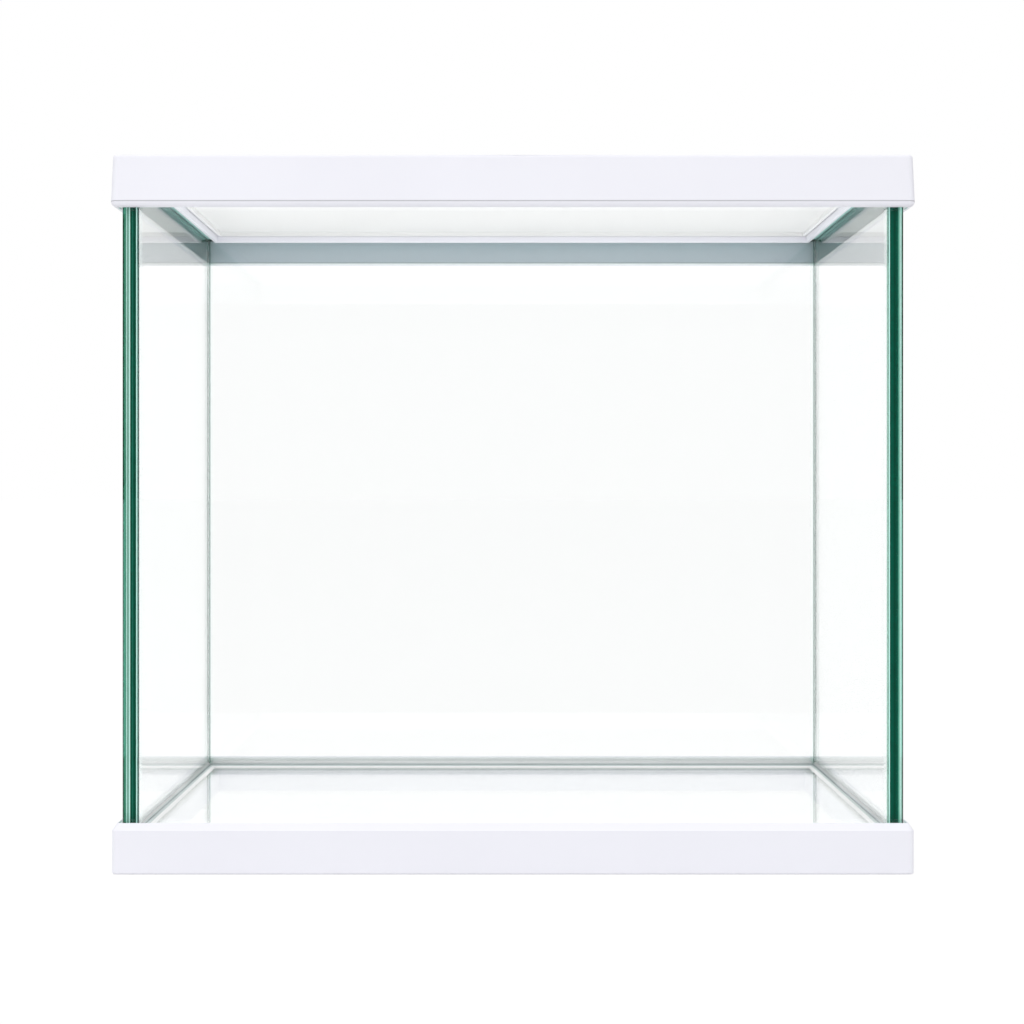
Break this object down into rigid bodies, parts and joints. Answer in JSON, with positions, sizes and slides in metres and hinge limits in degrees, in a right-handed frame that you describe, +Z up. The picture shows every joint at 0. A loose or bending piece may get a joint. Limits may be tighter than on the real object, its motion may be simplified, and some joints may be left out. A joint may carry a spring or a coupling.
{
  "type": "aquarium",
  "caption": "Rectangular glass aquarium with bonded panes, moulded top and bottom frames and a flush lid hinged along its back edge.",
  "frame": {"origin": "middle of the footprint, on the surface that the aquarium stands on", "axes": "+X along the width, to the right seen from the front; +Y along the depth, towards the back; +Z up"},
  "size_m": [0.308, 0.208, 0.2755],
  "materials": {
    "glass": "clear float glass with green polished edges",
    "silicone": "clear cured silicone",
    "frame_plastic": "cool white moulded plastic, satin",
    "lid_plastic": "neutral white moulded plastic, fine matt grain",
    "pin_steel": "bright stainless"
  },
  "bodies": {
    "tank": {"front_pane": "glass", "back_pane": "glass", "left_pane": "glass", "right_pane": "glass", "floor_pane": "glass", "corner_seal_front_left": "silicone", "corner_seal_front_right": "silicone", "corner_seal_back_left": "silicone", "corner_seal_back_right": "silicone", "floor_seal_front": "silicone", "floor_seal_back": "silicone", "floor_seal_left": "silicone", "floor_seal_right": "silicone", "bottom_frame": "frame_plastic", "bottom_bead": "silicone", "floor_bed": "silicone", "top_frame": "frame_plastic", "top_bead": "silicone"},
    "lid": {"lid_panel": "lid_plastic", "hinge_pin_left": "pin_steel", "hinge_pin_right": "pin_steel"}
  },
  "joints": [
    {"name": "lid_hinge", "type": "hinge", "parent": "tank", "child": "lid", "pos_m": [0, 0.0985, 0.2724], "axis": [-1, 0, 0], "range_deg": [0, 115]}
  ]
}
